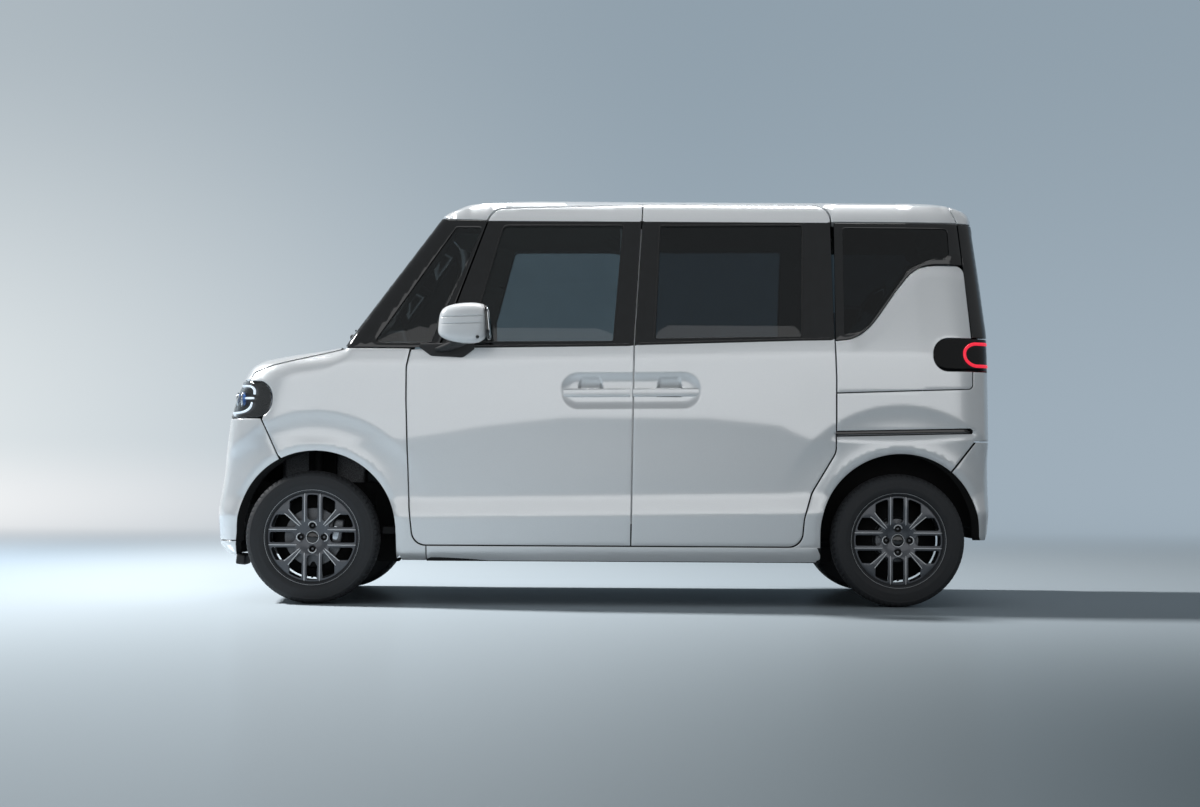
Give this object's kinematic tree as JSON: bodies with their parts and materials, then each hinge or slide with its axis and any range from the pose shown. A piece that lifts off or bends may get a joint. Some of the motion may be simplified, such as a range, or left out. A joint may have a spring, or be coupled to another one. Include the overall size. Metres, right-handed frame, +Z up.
{
  "type": "kei car",
  "caption": "Tall boxy small car with hinged front doors, sliding rear doors, lifting bonnet and tailgate, steered front wheels and turning wheels.",
  "frame": {"origin": "on the floor under the middle of the car's length and width", "axes": "+X towards the tail, nose at -X; +Y to the car's right side; +Z up"},
  "size_m": [3.3943, 1.885, 1.79],
  "materials": {
    "body_paint": "pearl white gloss paint",
    "glass": "dark tinted glass",
    "lamp_lens": "clear moulded lens",
    "red_lens": "red moulded lens",
    "structure": "painted pressed steel",
    "chassis": "black coated steel",
    "liner": "black moulded liner",
    "trim": "dark grained plastic",
    "seat_fabric": "dark woven fabric",
    "engine": "cast",
    "tank": "moulded",
    "exhaust": "dull steel",
    "tyre": "rubber",
    "wheel": "dark grey metallic"
  },
  "bodies": {
    "body": {"floor_pan": "structure", "roof_panel": "body_paint", "front_pillars": "body_paint", "centre_pillars": "structure", "scuttle": "structure", "wheel_housings": "liner", "front_fender_left": "body_paint", "front_fender_right": "body_paint", "quarter_panel_left": "body_paint", "quarter_panel_right": "body_paint", "rear_door_left": "body_paint", "rear_door_right": "body_paint", "rear_door_glass": "glass", "quarter_glass": "glass", "windscreen": "glass", "front_bumper": "body_paint", "rear_bumper": "body_paint", "headlamps": "lamp_lens", "tail_lamps": "red_lens", "dashboard": "trim", "front_seats": "seat_fabric", "rear_seat": "seat_fabric", "front_subframe": "chassis", "rear_axle": "chassis", "engine_block": "engine", "fuel_tank": "tank", "exhaust_pipe": "exhaust"},
    "bonnet": {"bonnet": "body_paint"},
    "tailgate": {"tailgate": "body_paint", "tailgate_glass": "glass"},
    "steering_wheel": {"steering_wheel": "trim"},
    "front_door_left": {"front_door_left": "body_paint", "front_door_glass_left": "glass", "door_mirror_left": "body_paint"},
    "knuckle_left": {"knuckle_left": "chassis"},
    "front_door_right": {"front_door_right": "body_paint", "front_door_glass_right": "glass", "door_mirror_right": "body_paint"},
    "knuckle_right": {"knuckle_right": "chassis"},
    "wheel_front_left": {"tyre_front_left": "tyre", "wheel_front_left": "wheel"},
    "wheel_front_right": {"tyre_front_right": "tyre", "wheel_front_right": "wheel"},
    "wheel_rear_left": {"tyre_rear_left": "tyre", "wheel_rear_left": "wheel"},
    "wheel_rear_right": {"tyre_rear_right": "tyre", "wheel_rear_right": "wheel"}
  },
  "joints": [
    {"name": "steer_left", "type": "hinge", "parent": "body", "child": "knuckle_left", "pos_m": [-1.245, -0.634, 0.178], "axis": [0, 0.2275, 0.9738], "range_deg": [-33, 33]},
    {"name": "steer_right", "type": "hinge", "parent": "body", "child": "knuckle_right", "pos_m": [-1.245, 0.634, 0.178], "axis": [0, -0.2275, 0.9738], "range_deg": [-33, 33]},
    {"name": "steering_wheel_turn", "type": "hinge", "parent": "body", "child": "steering_wheel", "pos_m": [-0.59, 0.33, 0.985], "axis": [0.8829, 0, 0.4695], "range_deg": [-462, 462]},
    {"name": "front_door_left_hinge", "type": "hinge", "parent": "body", "child": "front_door_left", "pos_m": [-0.842, -0.735, 1.045], "axis": [0, -0.061, -0.9981], "range_deg": [0, 65]},
    {"name": "front_door_right_hinge", "type": "hinge", "parent": "body", "child": "front_door_right", "pos_m": [-0.842, 0.735, 1.045], "axis": [0, -0.061, 0.9981], "range_deg": [0, 65]},
    {"name": "bonnet_hinge", "type": "hinge", "parent": "body", "child": "bonnet", "pos_m": [-1.1275, 0, 1.108], "axis": [0, 1, 0], "range_deg": [0, 50]},
    {"name": "tailgate_hinge", "type": "hinge", "parent": "body", "child": "tailgate", "pos_m": [1.514, 0, 1.768], "axis": [0, -1, 0], "range_deg": [0, 80]},
    {"name": "wheel_front_left_spin", "type": "hinge", "parent": "knuckle_left", "child": "wheel_front_left", "pos_m": [-1.245, -0.6525, 0.286], "axis": [0, 1, 0], "continuous": true},
    {"name": "wheel_front_right_spin", "type": "hinge", "parent": "knuckle_right", "child": "wheel_front_right", "pos_m": [-1.245, 0.6525, 0.286], "axis": [0, 1, 0], "continuous": true},
    {"name": "wheel_rear_left_spin", "type": "hinge", "parent": "body", "child": "wheel_rear_left", "pos_m": [1.275, -0.6525, 0.286], "axis": [0, 1, 0], "continuous": true},
    {"name": "wheel_rear_right_spin", "type": "hinge", "parent": "body", "child": "wheel_rear_right", "pos_m": [1.275, 0.6525, 0.286], "axis": [0, 1, 0], "continuous": true}
  ],
  "couplings": [
    {"joint": "steer_right", "follows": "steer_left", "ratio": 1},
    {"joint": "steering_wheel_turn", "follows": "steer_left", "ratio": 14}
  ]
}
